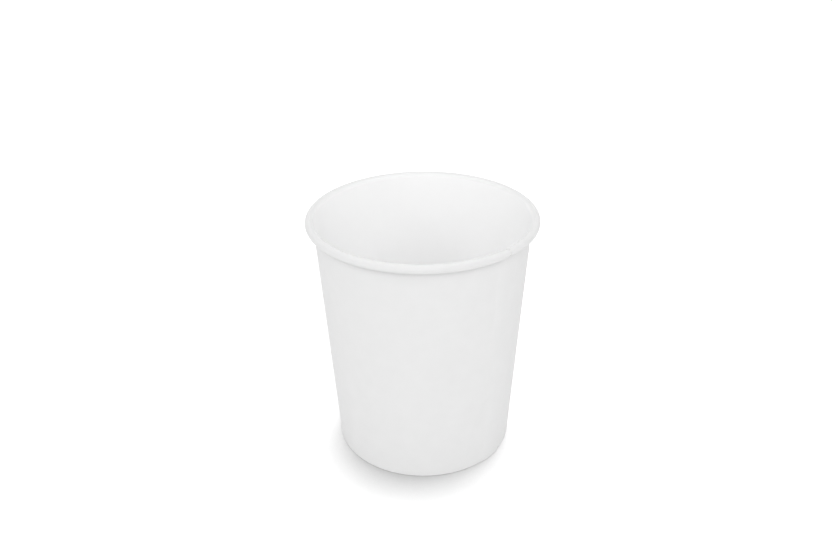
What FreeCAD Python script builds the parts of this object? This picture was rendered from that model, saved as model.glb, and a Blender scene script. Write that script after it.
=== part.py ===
import FreeCAD
import Part
import math
import os

# Plain single-wall paper cup, made from two blanks of coated white board.
# The sidewall is one blank wrapped into a cone. Its two ends are lapped and sealed down one side,
# its top edge is curled outwards into the rolled rim, and its foot is folded inwards and up.
# The base is a disc with its edge drawn down into a skirt. The skirt is held in the slot between
# the sidewall and the turned-up fold, which leaves the disc recessed above the standing plane.
# The axis is Z, the cup stands on z = 0, and -Y is the front. Millimetres and degrees.

# Sizes of the finished cup
rim_diameter = 80.0  # over the rolled rim, which a lid grips
foot_diameter = 63.6  # over the sidewall at the standing plane
cup_height = 88.0  # standing plane to the top of the rolled rim
roll_diameter = 3.0  # the curl of the rim, across its section
base_recess = 7.5  # standing plane to the underside of the disc

# Board
wall_board = 0.33  # sidewall blank, coating included
base_board = 0.28  # base blank
seal_gap = 0.02  # between sealed faces of the two blanks

# Side seam
lap_width = 7.0  # overlap of the blank's two ends, at the foot
ramp_width = 3.0  # length over which the outer end steps up onto the inner one
seam_azimuth = -33.0  # free edge of the outer end, from +X
step_clearance = 0.01  # the step behind the ramp starts this far clear of the board's face

# Foot and base
hem_shortfall = 1.5  # the turned-up fold stops this far below the disc
skirt_clearance = 0.3  # skirt's cut edge to the inside of the fold
base_bend = 0.4  # inside radius where the disc turns into its skirt

# Curl of the rim, as angles round the section: 0 points away from the cup's axis, 90 up
curl_tighten = -45.0  # where the curl draws in to pass inside itself
curl_tip = -240.0  # where the blank's top edge ends, inside the roll
curl_gap = 0.05  # left between the curl's inner turn and the lapped wall

# Round stretches of the section follow their arcs in short flats, no longer than these angles.
roll_flat = 30.0  # on the outside of the roll
hidden_flat = 50.0  # inside the roll
bend_flat = 50.0  # where board is folded

# Worked out from the sizes above
foot_radius = foot_diameter / 2
roll_radius = roll_diameter / 2
roll_middle = (rim_diameter / 2 - roll_radius, cup_height - roll_radius)
slot = base_board + 2 * seal_gap
hem_height = base_recess - hem_shortfall
degrees_per_mm = math.degrees(1 / foot_radius)  # round the foot
ramp_start = seam_azimuth - (lap_width + ramp_width) * degrees_per_mm
lap_start = seam_azimuth - lap_width * degrees_per_mm
mid_ply = wall_board / 2

# The flare is the angle at which the wall's outside, from the foot, runs tangent into the curl.
foot_to_roll = (roll_middle[0] - foot_radius, roll_middle[1])
off_tangent = math.acos((roll_radius - wall_board) / math.hypot(*foot_to_roll))
flare = off_tangent - math.atan2(foot_to_roll[1], foot_to_roll[0])
flare_deg = math.degrees(flare)

# The inner turn of the curl leaves room for two thicknesses of board on the wall behind it.
draw_in = 1 + math.cos(math.radians(curl_tighten) + flare)
turn_radius = roll_radius - (2 * wall_board + curl_gap) / draw_in


def polar(middle, radius, angle):
    a = math.radians(angle)
    return middle[0] + radius * math.cos(a), middle[1] + radius * math.sin(a)


def on_board(up, inward):
    """(r, z) of a point up the wall from the foot, and inward from the wall's outside face."""
    r = foot_radius + up * math.sin(flare) - inward * math.cos(flare)
    return r, up * math.cos(flare) + inward * math.sin(flare)


def at_height(z, inward):
    """(r, z) of the point at height z that lies inward from the wall's outside face."""
    return on_board((z - inward * math.sin(flare)) / math.cos(flare), inward)


def bend(middle, radius, stops, flat):
    """(r, z) points round an arc, with a point at each of its stops."""
    if radius == 0:
        return [middle]
    angles = [stops[0]]
    for start, end in zip(stops, stops[1:]):
        count = math.ceil(abs(end - start) / flat)
        angles += [start + (end - start) * i / count for i in range(1, count + 1)]
    return [polar(middle, radius, angle) for angle in angles]


def folded_foot(out, lapped=0.0):
    """Points along the blank from the top of the hem, down round the fold and up the wall. out is
    measured through the board from its sealed face, and lapped moves the wall and the hem away
    from each other while the fold stays on the standing plane."""
    hem_inward = wall_board + slot + out + lapped
    wall_bend = at_height(wall_board, wall_board - lapped)
    hem_bend = at_height(wall_board, wall_board + slot + lapped)
    points = [on_board(hem_height, hem_inward)]
    points += bend(hem_bend, out, (180 - flare_deg, 270), bend_flat)
    return points + bend(wall_bend, out, (270, 360 - flare_deg), bend_flat)


def first_turn(out):
    """Points round the outside of the roll, from the wall's top to where the curl tightens. out is
    measured through the board from the face that is inside the cup and outside the roll."""
    stops = (180 - flare_deg, 90, 0, curl_tighten)
    return bend(roll_middle, roll_radius - out, stops, roll_flat)


def second_turn(out):
    """Points round the inner turn of the curl, on to the blank's cut edge."""
    middle = polar(roll_middle, roll_radius - turn_radius, curl_tighten)
    return bend(middle, turn_radius - out, (curl_tighten, curl_tip), hidden_flat)[1:]


def outline(points, azimuth=0.0):
    """A closed wire through (r, z) points in the half plane at an azimuth."""
    a = math.radians(azimuth)
    corners = [FreeCAD.Vector(r * math.cos(a), r * math.sin(a), z) for r, z in points]
    return Part.makePolygon(corners + corners[:1])


def turned(wire, sweep=360.0):
    return Part.Face(wire).revolve(FreeCAD.Vector(0, 0, 0), FreeCAD.Vector(0, 0, 1), sweep)


def single_ply():
    """The blank all the way round, at one thickness of board."""
    sealed_face = folded_foot(0) + first_turn(0) + second_turn(0)
    open_face = folded_foot(wall_board) + first_turn(wall_board) + second_turn(wall_board)
    return turned(outline(sealed_face + open_face[::-1]))


def outer_end(rise, azimuth):
    """Outline of the blank's outer end at an azimuth, where it has risen so far off the ply below
    it. It reaches down to the middle of that ply and as far round the roll as the curl's inner
    turn allows."""
    below = folded_foot(mid_ply) + first_turn(mid_ply)
    above = folded_foot(wall_board, rise) + first_turn(wall_board + rise)
    return outline(below + above[::-1], azimuth)


def seam_step(depth, azimuth):
    """Outline at an azimuth of the space behind the rising ply, inside the cup and on the outside
    of the roll, from clear of the board down to a depth below its face."""
    over = [at_height(wall_board, wall_board + mid_ply)] + first_turn(-mid_ply)
    under = [at_height(wall_board, wall_board - depth)] + first_turn(depth)
    return outline(over + under[::-1], azimuth)


def sidewall():
    """The wrapped, curled and folded blank, with its lapped seam, as one solid."""
    lap = turned(outer_end(wall_board, lap_start), seam_azimuth - lap_start)
    ramp_ends = [outer_end(0, ramp_start), outer_end(wall_board, lap_start)]
    step_ends = [seam_step(-step_clearance, ramp_start), seam_step(wall_board, lap_start)]
    ramp = Part.makeLoft(ramp_ends, True, True)
    step = Part.makeLoft(step_ends, True, True)
    return single_ply().fuse([lap, ramp]).cut(step).removeSplitter()


def base_disc():
    """The recessed disc and its skirt, parallel to the wall that it is sealed to."""
    outside = wall_board + seal_gap
    inside = outside + base_board
    skirt_edge = wall_board + skirt_clearance
    bend_middle = at_height(base_recess - base_bend, inside + base_bend)
    turns = (90, -flare_deg)
    upper = bend(bend_middle, base_bend + base_board, turns, bend_flat)
    lower = bend(bend_middle, base_bend, turns, bend_flat)
    over = [(0, base_recess + base_board)] + upper + [at_height(skirt_edge, outside)]
    under = [(0, base_recess)] + lower + [at_height(skirt_edge, inside)]
    return turned(outline(over + under[::-1]))


def main():
    os.makedirs("parts", exist_ok=True)
    for build in (sidewall, base_disc):
        shape = build()
        name = build.__name__
        shape.Solids[0].exportStep(os.path.join("parts", name + ".step"))
        print(name, len(shape.Solids), "solid, valid", shape.isValid(), round(shape.Volume, 2), "mm3")


main()
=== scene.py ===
import bmesh
import bpy
import math
from mathutils import Matrix, Vector


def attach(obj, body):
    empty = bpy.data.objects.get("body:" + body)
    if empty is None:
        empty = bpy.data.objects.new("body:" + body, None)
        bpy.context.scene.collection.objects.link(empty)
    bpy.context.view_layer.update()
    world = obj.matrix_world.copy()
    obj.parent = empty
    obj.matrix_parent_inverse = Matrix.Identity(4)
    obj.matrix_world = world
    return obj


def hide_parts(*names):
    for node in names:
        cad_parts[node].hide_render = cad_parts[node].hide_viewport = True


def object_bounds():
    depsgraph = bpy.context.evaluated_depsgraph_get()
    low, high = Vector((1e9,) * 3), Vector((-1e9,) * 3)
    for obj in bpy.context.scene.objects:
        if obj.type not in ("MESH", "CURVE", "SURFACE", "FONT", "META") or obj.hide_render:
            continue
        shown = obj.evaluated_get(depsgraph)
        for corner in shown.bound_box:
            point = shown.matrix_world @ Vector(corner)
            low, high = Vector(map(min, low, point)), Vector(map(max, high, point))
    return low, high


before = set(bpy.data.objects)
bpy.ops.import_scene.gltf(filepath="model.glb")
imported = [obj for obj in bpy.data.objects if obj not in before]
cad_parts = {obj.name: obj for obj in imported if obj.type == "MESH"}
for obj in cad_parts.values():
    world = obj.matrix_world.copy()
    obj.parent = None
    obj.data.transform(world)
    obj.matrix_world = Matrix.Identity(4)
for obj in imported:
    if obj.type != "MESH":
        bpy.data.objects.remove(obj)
cadLow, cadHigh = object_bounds()
print("stage: frame loaded")

mm = 0.001
firstColour, secondColour, mixedColour = 6, 7, 2  # a Mix node's sockets for colours
sameAngle = 0.01  # degrees; closer angles count as one


# Helpers that every piece uses
def linearColour(hexCode):
    channels = [int(hexCode[i:i + 2], 16) / 255 for i in (1, 3, 5)]
    linear = [c / 12.92 if c <= 0.04045 else ((c + 0.055) / 1.055) ** 2.4 for c in channels]
    return (*linear, 1.0)


def addNode(tree, kind, inputs={}, **settings):
    # an input is given a constant, or is linked when its value is another node's output
    node = tree.nodes.new(kind)
    for name, value in settings.items():
        setattr(node, name, value)
    for name, value in inputs.items():
        if isinstance(value, bpy.types.NodeSocket):
            tree.links.new(value, node.inputs[name])
        else:
            node.inputs[name].default_value = value
    return node


def newMaterial(name):
    material = bpy.data.materials.new(name)
    material.use_nodes = True
    material.node_tree.nodes.clear()
    return material, material.node_tree


def polar(middle, radius, angle):
    a = math.radians(angle)
    return middle[0] + radius * math.cos(a), middle[1] + radius * math.sin(a)


def spread(start, end, count):
    return [start + (end - start) * i / count for i in range(count + 1)]


def clamped(t):
    return min(max(t, 0), 1)


def eased(t):
    # clamped, with a soft start and end
    t = clamped(t)
    return t * t * (3 - 2 * t)


# The form that both blanks share, in millimetres
cupForm = {
    "footDiameter": 63.6,
    "rollDiameter": 3.0,
    "wallBoard": 0.33,
    "baseBoard": 0.28,
    "sealGap": 0.02,
    "baseRecess": 7.5,
    "creaseRadius": 0.03,  # inside a fold
    "weldWithin": 0.0005,
    "sharpAbove": 50.0,  # degrees between faces whose edge is shaded sharp
}
wallBoard = cupForm["wallBoard"]
footRadius = cupForm["footDiameter"] / 2
rollRadius = cupForm["rollDiameter"] / 2
rollMiddle = (cadHigh.x / mm - rollRadius, cadHigh.z / mm - rollRadius)
slotWidth = cupForm["baseBoard"] + 2 * cupForm["sealGap"]
toRoll = (rollMiddle[0] - footRadius, rollMiddle[1])
# the wall runs from the foot straight into the curl, as its tangent
offTangent = math.acos((rollRadius - wallBoard) / math.hypot(*toRoll))
flare = offTangent - math.atan2(toRoll[1], toRoll[0])
flareDeg = math.degrees(flare)


def onBoard(up, inward):
    # (r, z) up the wall from the foot, and inward from the wall's outside face
    r = footRadius + up * math.sin(flare) - inward * math.cos(flare)
    return r, up * math.cos(flare) + inward * math.sin(flare)


def atHeight(z, inward):
    # (r, z) at a height, and as far inward
    return onBoard((z - inward * math.sin(flare)) / math.cos(flare), inward)


# Material slots of a sheet: the filmed face, which is inside the cup and sealed between the two
# blanks, the bare face, the cut edges, and the filmed face again where it is curled into the roll
filmedSlot, bareSlot, cutSlot, curledSlot = range(4)


def sheetOfBoard(name, rows, columns, pointAt, keepCell, closedEdge, materials, curledZones=()):
    # Makes a bent sheet of board from a grid: rows run along its section, columns round the cup.
    # Each point of the grid has a vertex on the filmed face, 0, and one on the bare face, 1.
    # keepCell says which cells of the grid are there, and closedEdge where the sheet runs on
    # although its grid ends.
    verts, faces, slots = [], [], []
    for azimuth in columns:
        a = math.radians(azimuth)
        for row in rows:
            for face in (0, 1):
                r, z = pointAt(row, azimuth, face)
                verts.append((r * math.cos(a) * mm, r * math.sin(a) * mm, z * mm))

    def vert(i, j, face):
        return (i * len(rows) + j) * 2 + face

    def kept(i, j):
        onSheet = 0 <= i < len(columns) - 1 and 0 <= j < len(rows) - 1
        return onSheet and keepCell(columns[i], rows[j])

    for i in range(len(columns) - 1):
        for j in range(len(rows) - 1):
            if not kept(i, j):
                continue
            corners = [(i, j), (i + 1, j), (i + 1, j + 1), (i, j + 1)]
            faces.append([vert(*c, 0) for c in corners])
            faces.append([vert(*c, 1) for c in corners[::-1]])
            slots += [curledSlot if rows[j][0] in curledZones else filmedSlot, bareSlot]
            # where the sheet ends beside this cell, its two faces are joined by a cut edge
            neighbours = [(i, j - 1), (i + 1, j), (i, j + 1), (i - 1, j)]
            for start, end, beyond in zip(corners, corners[1:] + corners[:1], neighbours):
                if kept(*beyond) or closedEdge(columns[start[0]], columns[end[0]], rows[j]):
                    continue
                faces.append([vert(*end, 0), vert(*start, 0), vert(*start, 1), vert(*end, 1)])
                slots.append(cutSlot)
    mesh = bpy.data.meshes.new(name)
    mesh.from_pydata(verts, [], faces)
    for polygon, slot in zip(mesh.polygons, slots):
        polygon.material_index = slot
    for material in materials:
        mesh.materials.append(material)
    piece = bpy.data.objects.new(name, mesh)
    bpy.context.scene.collection.objects.link(piece)
    return piece


def weldAndSmooth(piece):
    work = bmesh.new()
    work.from_mesh(piece.data)
    bmesh.ops.remove_doubles(work, verts=work.verts, dist=cupForm["weldWithin"] * mm)
    bmesh.ops.recalc_face_normals(work, faces=work.faces)
    work.to_mesh(piece.data)
    work.free()
    piece.data.shade_smooth()
    piece.data.set_sharp_from_angle(angle=math.radians(cupForm["sharpAbove"]))


# Cup board is bleached fibre pressed into sheet: matte white with a faint cloudiness and a fine
# felt-like tooth.
boardForm = {
    "cloudPatch": 5.0,  # mm across, the cloudiness of the pulp
    "cloudDetail": 3.0,
    "cloudRoughness": 0.55,
    "fibreWidth": 0.35,  # mm; real fibres are about 0.03 mm wide, drawn coarser so that they show
    "fibreDetail": 4.0,
    "fibreRoughness": 0.6,
    "fibreInTone": 0.35,  # how much the fibres add to the cloudiness
    "toneRange": (0.45, 0.9),  # where that sum is all dark and all light
    "sheenSpread": 0.05,  # either way from the finish's roughness
    "refraction": 1.5,
    "bumpStrength": 0.5,
    "filmColour": "#F7F7F7",  # where the curl begins, before its painted shade
    "paintedShadeInside": 1 / 3,  # painted shade is full from this share of the roll's radius inside its middle
    "paintedShadeAbove": 1 / 2,  # and above this share of it over its middle
    "paintedShadeBend": 0.4,  # under 1, the painted shade comes on early on its way over the curl
    "paintedShadeUnder": 0.4,  # share of the painted shade that is left under the roll, which paints its shaded underside lighter than its top
}
boardFinishes = {  # the tooth is its depth in mm
    "bleached_board_uncoated": {  # dry paper, which scatters the light evenly
        "light": "#E2E2E2", "dark": "#E0E0E0", "roughness": 0.62, "tooth": 0.012,
        "specular": 0.35},
    "bleached_board_film_lined": {  # a thin clear film, which gives a soft sheen; its colour, whiter than the bare face, is painted light inside the cup
        "light": "#F8F8F8", "dark": "#F7F7F7", "roughness": 0.42, "tooth": 0.006,
        "specular": 0.4},
    "bleached_board_curled_painted_shade": {  # the same film, painted darker round the roll as painted shade
        "light": "#D8D8D8", "dark": "#D6D6D6", "roughness": 0.5, "tooth": 0.006,
        "specular": 0.4},
    "bleached_board_cut_edge": {  # bare fibre, rough and a little creamy
        "light": "#E4E3E0", "dark": "#DBD9D4", "roughness": 0.8, "tooth": 0.03,
        "specular": 0.25},
}


def paintedShadeOverCurl(tree, place, paintedShadeColour):
    # painted shade: the film is painted darker over the top and outside of the curl, where the
    # lamps light it most, and less under the roll, so that its shaded underside is painted lighter
    level = addNode(tree, "ShaderNodeVectorMath", {0: place, 1: (1, 1, 0)}, operation="MULTIPLY")
    radius = addNode(tree, "ShaderNodeVectorMath", {0: level.outputs["Vector"]}, operation="LENGTH")
    outward = addNode(tree, "ShaderNodeMapRange", {
        "Value": radius.outputs["Value"],
        "From Min": (rollMiddle[0] - rollRadius) * mm,
        "From Max": (rollMiddle[0] - rollRadius * boardForm["paintedShadeInside"]) * mm})
    outwardShade = addNode(tree, "ShaderNodeMath", {
        0: outward.outputs["Result"], 1: boardForm["paintedShadeBend"]}, operation="POWER")
    axes = addNode(tree, "ShaderNodeSeparateXYZ", {"Vector": place})
    heightShade = addNode(tree, "ShaderNodeMapRange", {
        "Value": axes.outputs["Z"],
        "From Min": (rollMiddle[1] - rollRadius) * mm,
        "From Max": (rollMiddle[1] + rollRadius * boardForm["paintedShadeAbove"]) * mm,
        "To Min": boardForm["paintedShadeUnder"]})
    paintedShadeShare = addNode(tree, "ShaderNodeMath", {
        0: outwardShade.outputs["Value"], 1: heightShade.outputs["Result"]}, operation="MULTIPLY")
    return addNode(tree, "ShaderNodeMix", {
        "Factor": paintedShadeShare.outputs["Value"], firstColour: linearColour(boardForm["filmColour"]),
        secondColour: paintedShadeColour}, data_type="RGBA")


def makeBoard(name, curled=False):
    finish = boardFinishes[name]
    material, tree = newMaterial(name)
    place = addNode(tree, "ShaderNodeTexCoord").outputs["Object"]
    cloud = addNode(tree, "ShaderNodeTexNoise", {
        "Vector": place, "Scale": 1 / (boardForm["cloudPatch"] * mm),
        "Detail": boardForm["cloudDetail"], "Roughness": boardForm["cloudRoughness"]})
    fibre = addNode(tree, "ShaderNodeTexNoise", {
        "Vector": place, "Scale": 1 / (boardForm["fibreWidth"] * mm),
        "Detail": boardForm["fibreDetail"], "Roughness": boardForm["fibreRoughness"]})
    mottle = addNode(tree, "ShaderNodeMath", {
        0: fibre.outputs["Fac"], 1: boardForm["fibreInTone"], 2: cloud.outputs["Fac"]},
        operation="MULTIPLY_ADD")
    allDark, allLight = boardForm["toneRange"]
    tone = addNode(tree, "ShaderNodeMapRange", {
        "Value": mottle.outputs["Value"], "From Min": allDark, "From Max": allLight})
    colour = addNode(tree, "ShaderNodeMix", {
        "Factor": tone.outputs["Result"], firstColour: linearColour(finish["dark"]),
        secondColour: linearColour(finish["light"])}, data_type="RGBA")
    # on the curl, painted shade darkens the film over its top and outside
    if curled:
        colour = paintedShadeOverCurl(tree, place, colour.outputs[mixedColour])
    sheen = addNode(tree, "ShaderNodeMapRange", {
        "Value": fibre.outputs["Fac"], "To Min": finish["roughness"] - boardForm["sheenSpread"],
        "To Max": finish["roughness"] + boardForm["sheenSpread"]})
    bump = addNode(tree, "ShaderNodeBump", {
        "Height": fibre.outputs["Fac"], "Distance": finish["tooth"] * mm,
        "Strength": boardForm["bumpStrength"]})
    shader = addNode(tree, "ShaderNodeBsdfPrincipled", {
        "Base Color": colour.outputs[mixedColour], "Roughness": sheen.outputs["Result"],
        "Normal": bump.outputs["Normal"], "IOR": boardForm["refraction"],
        "Specular IOR Level": finish["specular"]})
    addNode(tree, "ShaderNodeOutputMaterial", {"Surface": shader.outputs["BSDF"]})
    return material


outerBoard = makeBoard("bleached_board_uncoated")
innerBoard = makeBoard("bleached_board_film_lined")
# the film round the roll, with painted shade over its top and outside
rolledBoard = makeBoard("bleached_board_curled_painted_shade", curled=True)
cutEdge = makeBoard("bleached_board_cut_edge")
print("stage: board materials made")


# Sidewall: one blank wrapped round, lapped at the side, curled at the top, folded in at the foot.
# Lengths are in millimetres and angles in degrees. Angles of the curl go round its section: 0 is
# away from the cup's axis, and 90 is up.
sidewallForm = {
    "seamAzimuth": -33.0,  # free edge of the outer end
    "lapWidth": 7.0,
    "lapGap": 0.01,  # between the two plies of the lap
    "rampWidth": 3.0,  # over which the outer end steps up onto the inner one
    "hemHeight": 6.0,
    "hemFrom": 0.8,  # the hem is straight from here up
    "wallFrom": 0.9,  # and so is the wall
    "wallEndsShort": 0.4,  # of the curl
    "curlTightens": -45.0,
    "curlTip": -240.0,
    "curlGap": 0.05,
    "curlSettles": 60.0,  # of the inner turn, over which the blank's two ends come together
    "rows": {"hem": 9, "hemBend": 4, "wallBend": 4, "wall": 14, "firstTurn": 22, "secondTurn": 12},
    "columnStep": 0.75,
    "seamColumns": 8,  # on the ramp, and as many on the lap
    "outOfRound": 0.05,  # how far the wrapped wall wanders from a true cone
    "stiffFoot": 40.0,  # the wandering grows up to this height
    "ovalShare": 0.25,
    "ovalTurn": 0.6,  # radians
    "threeSidedShare": 0.15,
    "threeSidedTwist": 30.0,  # height in which it turns by a radian
    "rippleShare": 0.1,
    "rippleCount": 7,
    "pressedWidth": 7.0,  # the press thins the inner end's edge over this width of the rim
    "pressedShare": 0.75,  # of the board's thickness, at the edge itself
    "pressedSetsIn": 30.0,  # of the curl, over which the pressing grows
    "foldLift": 0.93,  # of the board's thickness
    "knurlCount": 120,  # grooves that the crimping wheel leaves round the hem
    "knurlDepth": 0.15,
    "knurlZone": (1.3, 5.2),  # heights between which the wheel runs
    "knurlFade": 0.4,
}
perMm = math.degrees(1 / footRadius)
# the blank goes from its inner end's cut edge once round the cup, up the ramp and over the lap
lapStart = sidewallForm["seamAzimuth"] - sidewallForm["lapWidth"] * perMm
rampEnd = lapStart + 360
rampStart = rampEnd - sidewallForm["rampWidth"] * perMm
seamEnd = sidewallForm["seamAzimuth"] + 360
# the curl's inner turn leaves room for two thicknesses of board on the wall behind it
drawIn = 1 + math.cos(math.radians(sidewallForm["curlTightens"]) + flare)
turnRadius = rollRadius - (2 * wallBoard + sidewallForm["curlGap"]) / drawIn
turnMiddle = polar(rollMiddle, rollRadius - turnRadius, sidewallForm["curlTightens"])
wallLength = toRoll[0] * math.sin(flare) + toRoll[1] * math.cos(flare)


def sidewallRows():
    # each stretch of the section, with the heights or angles that it runs between
    tightens = sidewallForm["curlTightens"]
    stretches = {
        "hem": (sidewallForm["hemHeight"], sidewallForm["hemFrom"]),
        "hemBend": (180 - flareDeg, 270),
        "wallBend": (270, 360 - flareDeg),
        "wall": (sidewallForm["wallFrom"], wallLength - sidewallForm["wallEndsShort"]),
        "firstTurn": (180 - flareDeg, tightens),
        "secondTurn": (tightens, sidewallForm["curlTip"]),
    }
    rows = []
    for zone, (start, end) in stretches.items():
        rows += [(zone, value) for value in spread(start, end, sidewallForm["rows"][zone])]
    rows.remove(("secondTurn", tightens))  # the first turn ends there
    return rows


def sidewallColumns():
    onePly = round((rampStart - lapStart) / sidewallForm["columnStep"])
    columns = spread(lapStart, rampStart, onePly)
    columns += spread(rampStart, rampEnd, sidewallForm["seamColumns"])[1:]
    return columns + spread(rampEnd, seamEnd, sidewallForm["seamColumns"])[1:]


def boardRise(azimuth):
    # how far the blank's outer end has stepped up onto its inner end
    full = wallBoard + sidewallForm["lapGap"]
    return full * eased((azimuth - rampStart) / (rampEnd - rampStart))


def settled(angle):
    # 0 on the first turn of the curl, up to 1 where the inner turn runs on unbroken behind the lap
    return clamped((sidewallForm["curlTightens"] - angle) / sidewallForm["curlSettles"])


def wander(azimuth, z):
    # A wrapped wall is a little oval and three-sided, with a slight ripple, but true at its foot.
    # The three shares add up to 0.5, so the wall only goes inward from the cone.
    a = math.radians(azimuth)
    twist = z / sidewallForm["threeSidedTwist"]
    wave = 0.5 + sidewallForm["ovalShare"] * math.cos(2 * a + sidewallForm["ovalTurn"])
    wave += sidewallForm["threeSidedShare"] * math.sin(3 * a + twist)
    wave += sidewallForm["rippleShare"] * math.sin(sidewallForm["rippleCount"] * a)
    return sidewallForm["outOfRound"] * min(z / sidewallForm["stiffFoot"], 1) * wave


def pressedAway(azimuth, angle):
    # how much thinner the inner end's edge is pressed, where it lies on the outside of the roll
    onEdge = eased(1 - (azimuth - lapStart) / (sidewallForm["pressedWidth"] * perMm))
    onRoll = min((180 - flareDeg - angle) / sidewallForm["pressedSetsIn"], 1 - settled(angle))
    return wallBoard * sidewallForm["pressedShare"] * onRoll * onEdge


def foldLift(azimuth):
    # the inner end's fold rides up inside the outer end's, and comes down past the seam's free edge
    past = azimuth - sidewallForm["seamAzimuth"]
    lowered = eased(past / (sidewallForm["rampWidth"] * perMm))
    return wallBoard * sidewallForm["foldLift"] * (1 - lowered)


def knurl(azimuth, up):
    low, high = sidewallForm["knurlZone"]
    share = clamped(min(up - low, high - up) / sidewallForm["knurlFade"])
    groove = 0.5 - 0.5 * math.cos(math.radians(azimuth) * sidewallForm["knurlCount"])
    return sidewallForm["knurlDepth"] * share * groove


def sidewallPoint(row, azimuth, face):
    zone, value = row
    out = wallBoard * face
    if zone == "hem" and face:
        out -= knurl(azimuth, value)
    if zone in ("firstTurn", "secondTurn") and not face:
        out += pressedAway(azimuth, value)
    rise = boardRise(azimuth)
    crease = max(out, cupForm["creaseRadius"])
    if zone == "hem":
        r, z = onBoard(value, wallBoard + slotWidth + out + rise)
    elif zone == "hemBend":
        r, z = polar(atHeight(wallBoard, wallBoard + slotWidth + rise), crease, value)
        z += foldLift(azimuth)
    elif zone == "wallBend":
        r, z = polar(atHeight(wallBoard, wallBoard - rise), crease, value)
        z += foldLift(azimuth)
    elif zone == "wall":
        r, z = onBoard(value, wallBoard - out - rise)
    elif zone == "firstTurn":
        r, z = polar(rollMiddle, rollRadius - out - rise, value)
    else:
        r, z = polar(turnMiddle, turnRadius - out - rise * (1 - settled(value)), value)
    return r - wander(azimuth, z), z


def keepSidewall(azimuth, row):
    # past the ramp, the outer end of the blank stops where the curl tightens
    zone, value = row
    lastOfFirst = zone == "firstTurn" and value < sidewallForm["curlTightens"] + sameAngle
    onInnerTurn = zone == "secondTurn" or lastOfFirst
    return not onInnerTurn or azimuth < rampEnd - sameAngle


def joinedSidewall(startAzimuth, endAzimuth, row):
    # the curl's inner turn runs on unbroken behind the lap
    return startAzimuth == endAzimuth and row[0] == "secondTurn" and settled(row[1]) == 1


sidewall = sheetOfBoard("cup_sidewall", sidewallRows(), sidewallColumns(), sidewallPoint,
                        keepSidewall, joinedSidewall,
                        (innerBoard, outerBoard, cutEdge, rolledBoard), ("firstTurn", "secondTurn"))
weldAndSmooth(sidewall)
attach(sidewall, "root")
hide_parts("sidewall")
print("stage: sidewall", len(sidewall.data.polygons), "faces")


# Base: a disc with its edge turned down into a skirt, sealed between the wall and the hem.
# Lengths are in millimetres and angles in degrees.
baseForm = {
    "bendRadius": 0.4,
    "skirtClearance": 0.3,  # from the skirt's cut edge to the inside of the fold
    "skirtFrom": 0.5,  # the skirt is straight from this far below the bend's middle
    "rows": {"disc": 16, "bend": 8, "skirt": 4},
    "columnStep": 3.0,
    "pleats": 56,  # faint puckers where the disc's edge was drawn down
    "pleatDepth": 0.02,
    "sag": 0.12,  # the middle of the disc hangs this much
}
outsideInward = wallBoard + cupForm["sealGap"]
insideInward = outsideInward + cupForm["baseBoard"]
bendMiddle = atHeight(cupForm["baseRecess"] - baseForm["bendRadius"],
                      insideInward + baseForm["bendRadius"])
skirtEnd = wallBoard + baseForm["skirtClearance"]


def baseRows():
    counts = baseForm["rows"]
    rows = [("disc", share) for share in spread(0, 1, counts["disc"])]
    rows += [("bend", angle) for angle in spread(90, -flareDeg, counts["bend"])[1:]]
    straight = spread(bendMiddle[1] - baseForm["skirtFrom"], skirtEnd, counts["skirt"])
    return rows + [("skirt", z) for z in straight]


def basePoint(row, azimuth, face):
    zone, value = row
    through = cupForm["baseBoard"] * face
    radius = baseForm["bendRadius"] + cupForm["baseBoard"] - through
    if zone == "disc":
        r, z = value * bendMiddle[0], bendMiddle[1] + radius
        z -= baseForm["sag"] * (1 - value * value) ** 2
    elif zone == "bend":
        r, z = polar(bendMiddle, radius, value)
        pucker = 0.5 - 0.5 * math.cos(math.radians(azimuth) * baseForm["pleats"])
        r -= baseForm["pleatDepth"] * pucker * math.cos(math.radians(value))
    else:
        r, z = atHeight(value, outsideInward + through)
    return r, z


def wholeDisc(azimuth, row):
    return True


def closedRing(startAzimuth, endAzimuth, row):
    # the disc has no cut edge where its last column meets its first
    return startAzimuth == endAzimuth


baseColumns = spread(0, 360, round(360 / baseForm["columnStep"]))
baseDisc = sheetOfBoard("cup_base_disc", baseRows(), baseColumns, basePoint, wholeDisc, closedRing,
                        (innerBoard, outerBoard, cutEdge))
weldAndSmooth(baseDisc)
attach(baseDisc, "root")
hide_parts("base_disc")
print("stage: base disc", len(baseDisc.data.polygons), "faces")


# Floor and light of a plain product studio, in metres
studio = {
    "floorSize": 8.0,
    "floorColour": "#FAFAFA",  # as the camera sees it
    "floorPaintedShadow": "#959595",  # painted shadow, as the camera sees it close in front of the cup
    "floorGlow": 0.2,  # lifts it to white, and doesn't light the cup
    "floorBounce": "#E0E0E0",  # as it lights the cup
    "shadeReach": 36 * mm,
    "shadeSamples": 32,
    "shadeFrom": (0.19, 0.797, 0.574),  # where the light that the cup keeps off comes from, for the painted shadow
    "shadeOpen": (0.2, 0.745),  # shares of open sky for full painted shadow and for none
    "sky": 1.0,  # white, as the camera sees it
    "ambient": 0.84,  # the sky as it lights the cup
    "aim": (0, 0, 0.04),  # where the lamps point
    # place, size and power of each lamp
    "lamps": {
        "front_softbox": ((0, -0.8, 0.7), 0.4, 2.5),
        "left_softbox": ((-0.85, -0.25, 0.72), 0.5, 1.4),
        "right_softbox": ((0.8, -0.4, 0.72), 0.5, 1.15),
        "top_softbox": ((0.1, 0.3, 1.15), 0.8, 1.5),
    },
}


def raysThatSee(tree):
    # 1 for the camera and what it sees in gloss or through glass, 0 for light that falls on the cup
    path = addNode(tree, "ShaderNodeLightPath")
    direct = addNode(tree, "ShaderNodeMath", {
        0: path.outputs["Is Camera Ray"], 1: path.outputs["Is Glossy Ray"]}, operation="MAXIMUM")
    return addNode(tree, "ShaderNodeMath", {
        0: direct.outputs["Value"], 1: path.outputs["Is Transmission Ray"]}, operation="MAXIMUM")


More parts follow.
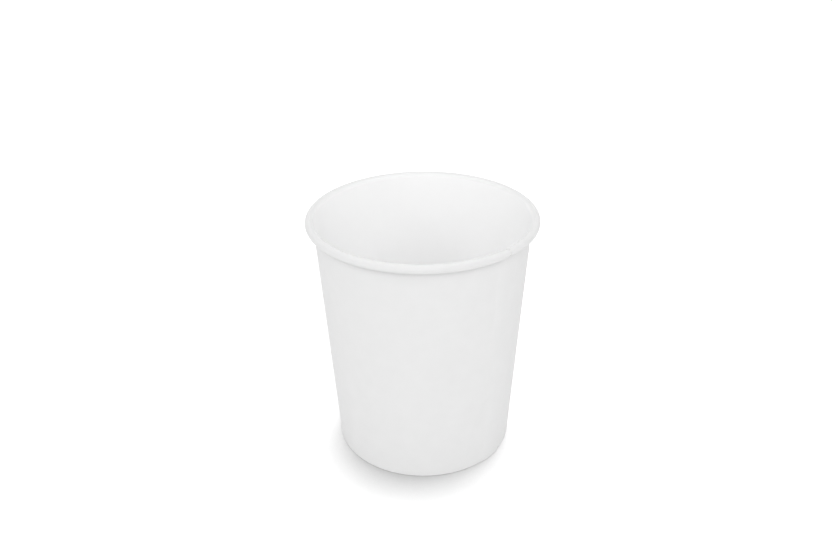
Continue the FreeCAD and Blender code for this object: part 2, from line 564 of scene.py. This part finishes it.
def makeFloor():
    half = studio["floorSize"] / 2
    corners = [(-half, -half, 0), (half, -half, 0), (half, half, 0), (-half, half, 0)]
    mesh = bpy.data.meshes.new("studio_floor")
    mesh.from_pydata(corners, [], [(0, 1, 2, 3)])
    floor = bpy.data.objects.new("studio_floor", mesh)
    bpy.context.scene.collection.objects.link(floor)
    # plain paper sweep: a matte white that keeps the lamps' real shade, with a soft shadow also
    # painted close round the cup, darker where the cup closes it in
    material, tree = newMaterial("studio_paper_sweep")
    seen = raysThatSee(tree)
    towards = addNode(tree, "ShaderNodeVectorMath", {0: studio["shadeFrom"]}, operation="NORMALIZE")
    openness = addNode(tree, "ShaderNodeAmbientOcclusion", {
        "Distance": studio["shadeReach"], "Normal": towards.outputs["Vector"]},
        samples=studio["shadeSamples"])
    closed, clear = studio["shadeOpen"]
    light = addNode(tree, "ShaderNodeMapRange", {
        "Value": openness.outputs["AO"], "From Min": closed, "From Max": clear})
    shown = addNode(tree, "ShaderNodeMix", {
        "Factor": light.outputs["Result"], firstColour: linearColour(studio["floorPaintedShadow"]),
        secondColour: linearColour(studio["floorColour"])}, data_type="RGBA")
    colour = addNode(tree, "ShaderNodeMix", {
        "Factor": seen.outputs["Value"], firstColour: linearColour(studio["floorBounce"]),
        secondColour: shown.outputs[mixedColour]}, data_type="RGBA")
    paper = addNode(tree, "ShaderNodeBsdfDiffuse", {"Color": colour.outputs[mixedColour]})
    strength = addNode(tree, "ShaderNodeMapRange", {
        "Value": seen.outputs["Value"], "To Min": 0.0, "To Max": studio["floorGlow"]})
    glow = addNode(tree, "ShaderNodeEmission", {
        "Color": shown.outputs[mixedColour], "Strength": strength.outputs["Result"]})
    both = addNode(tree, "ShaderNodeAddShader", {
        0: paper.outputs["BSDF"], 1: glow.outputs["Emission"]})
    addNode(tree, "ShaderNodeOutputMaterial", {"Surface": both.outputs["Shader"]})
    mesh.materials.append(material)


def makeWorld():
    world = bpy.data.worlds.new("studio_world")
    bpy.context.scene.world = world
    world.use_nodes = True
    tree = world.node_tree
    tree.nodes.clear()
    seen = raysThatSee(tree)
    strength = addNode(tree, "ShaderNodeMapRange", {
        "Value": seen.outputs["Value"], "To Min": studio["ambient"], "To Max": studio["sky"]})
    glow = addNode(tree, "ShaderNodeBackground", {
        "Color": (1, 1, 1, 1), "Strength": strength.outputs["Result"]})
    addNode(tree, "ShaderNodeOutputWorld", {"Surface": glow.outputs["Background"]})


def makeLamp(name, place, size, power):
    lamp = bpy.data.lights.new(name, "AREA")
    lamp.shape = "DISK"
    lamp.size = size
    lamp.energy = power
    lampObject = bpy.data.objects.new(name, lamp)
    bpy.context.scene.collection.objects.link(lampObject)
    lampObject.location = place
    aim = Vector(studio["aim"]) - Vector(place)
    lampObject.rotation_euler = aim.to_track_quat("-Z", "Y").to_euler()


makeFloor()
makeWorld()
for lampName, lampForm in studio["lamps"].items():
    makeLamp(lampName, *lampForm)
print("stage: studio lit")


# Camera at the photograph's viewing angle, in metres and radians
cameraForm = {
    "lens": 38.17,  # mm
    "sensor": 36.0,  # mm
    "distance": 0.27506,  # in front of the cup's axis
    "height": 0.21031,
    "turn": -0.0089,  # to the right
    "tilt": 0.4912,  # down
    "roll": -0.0124,
    "clip": (0.01, 20),
}


def makeCamera():
    turn, tilt, roll = (cameraForm[k] for k in ("turn", "tilt", "roll"))
    level = Vector((math.cos(turn), -math.sin(turn), 0))
    forward = Vector((math.sin(turn), math.cos(turn), 0))
    ahead = math.cos(tilt) * forward - Vector((0, 0, math.sin(tilt)))
    above = level.cross(ahead)
    right = math.cos(roll) * level + math.sin(roll) * above
    up = right.cross(ahead)
    lens = bpy.data.cameras.new("photo_camera")
    lens.lens = cameraForm["lens"]
    lens.sensor_width = cameraForm["sensor"]
    lens.clip_start, lens.clip_end = cameraForm["clip"]
    camera = bpy.data.objects.new("photo_camera", lens)
    bpy.context.scene.collection.objects.link(camera)
    turned = Matrix((right, up, -ahead)).transposed().to_4x4()
    place = Vector((0, -cameraForm["distance"], cameraForm["height"]))
    camera.matrix_world = Matrix.Translation(place) @ turned
    bpy.context.scene.camera = camera


makeCamera()
bpy.context.scene.view_settings.view_transform = "Standard"
print("stage: camera set")
